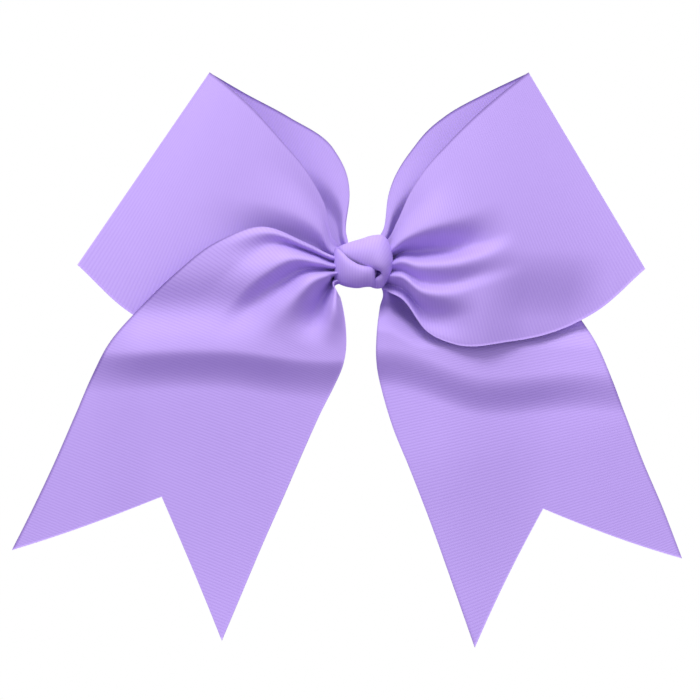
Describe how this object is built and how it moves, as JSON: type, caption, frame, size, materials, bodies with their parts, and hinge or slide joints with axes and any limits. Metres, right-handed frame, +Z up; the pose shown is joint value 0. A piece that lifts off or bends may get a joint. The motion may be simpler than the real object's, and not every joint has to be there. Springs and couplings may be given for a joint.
{
  "type": "cheer hair bow",
  "caption": "Large pleated ribbon hair bow with two open loops, a knotted centre and swallow-tailed ends, on a sprung alligator clip.",
  "frame": {"origin": "middle of the gathered centre, which the knot strip wraps, where the clip's grip crosses behind it", "axes": "+X towards the right seen from the front, +Y from the bow towards the head, +Z up as worn"},
  "size_m": [0.2135, 0.0418, 0.1825],
  "materials": {
    "lilac_grosgrain": "ribbed grosgrain, soft sheen",
    "lining_ribbon": "thin grosgrain lining",
    "thread": "waxed polyester thread",
    "hot_glue": "set hot-melt glue",
    "nickel_plate": "nickel-plated spring sheet",
    "spring_steel": "drawn spring wire"
  },
  "bodies": {
    "root": {"gathered_centre": "lilac_grosgrain", "gather_thread": "thread", "knot_strip": "lilac_grosgrain", "centre_knot": "lilac_grosgrain", "glue_pad": "hot_glue", "clip_top_blade": "nickel_plate", "clip_lining": "lining_ribbon", "clip_pin": "nickel_plate", "clip_spring": "spring_steel"},
    "left_loop_body": {"left_loop_front": "lilac_grosgrain", "left_loop_back": "lilac_grosgrain"},
    "right_loop_body": {"right_loop_front": "lilac_grosgrain", "right_loop_back": "lilac_grosgrain"},
    "left_tail_body": {"left_tail": "lilac_grosgrain"},
    "right_tail_body": {"right_tail": "lilac_grosgrain"},
    "jaw_body": {"clip_jaw": "nickel_plate"}
  },
  "joints": [
    {"name": "jaw_hinge", "type": "hinge", "parent": "root", "child": "jaw_body", "pos_m": [0.018, 0.0102, 0], "axis": [0, 0, -1], "range_deg": [0, 25], "stiffness_Nm_per_rad": 0.05, "springref_deg": -28.65, "deforming": ["clip_spring"]},
    {"name": "left_tail_flex", "type": "hinge", "parent": "root", "child": "left_tail_body", "pos_m": [-0.012, -0.008, 0], "axis": [-0.8363, 0, 0.5482], "range_deg": [0, 20], "stiffness_Nm_per_rad": 0.02},
    {"name": "right_tail_flex", "type": "hinge", "parent": "root", "child": "right_tail_body", "pos_m": [0.012, 0.0028, -0.006], "axis": [0.8755, 0, 0.4833], "range_deg": [0, 10], "stiffness_Nm_per_rad": 0.02},
    {"name": "left_loop_flex", "type": "hinge", "parent": "root", "child": "left_loop_body", "pos_m": [-0.0105, 0, 0], "axis": [0, 0, -1], "range_deg": [0, 6], "stiffness_Nm_per_rad": 0.03},
    {"name": "right_loop_flex", "type": "hinge", "parent": "root", "child": "right_loop_body", "pos_m": [0.0105, 0, 0], "axis": [0, 0, -1], "range_deg": [0, 6], "stiffness_Nm_per_rad": 0.03}
  ]
}
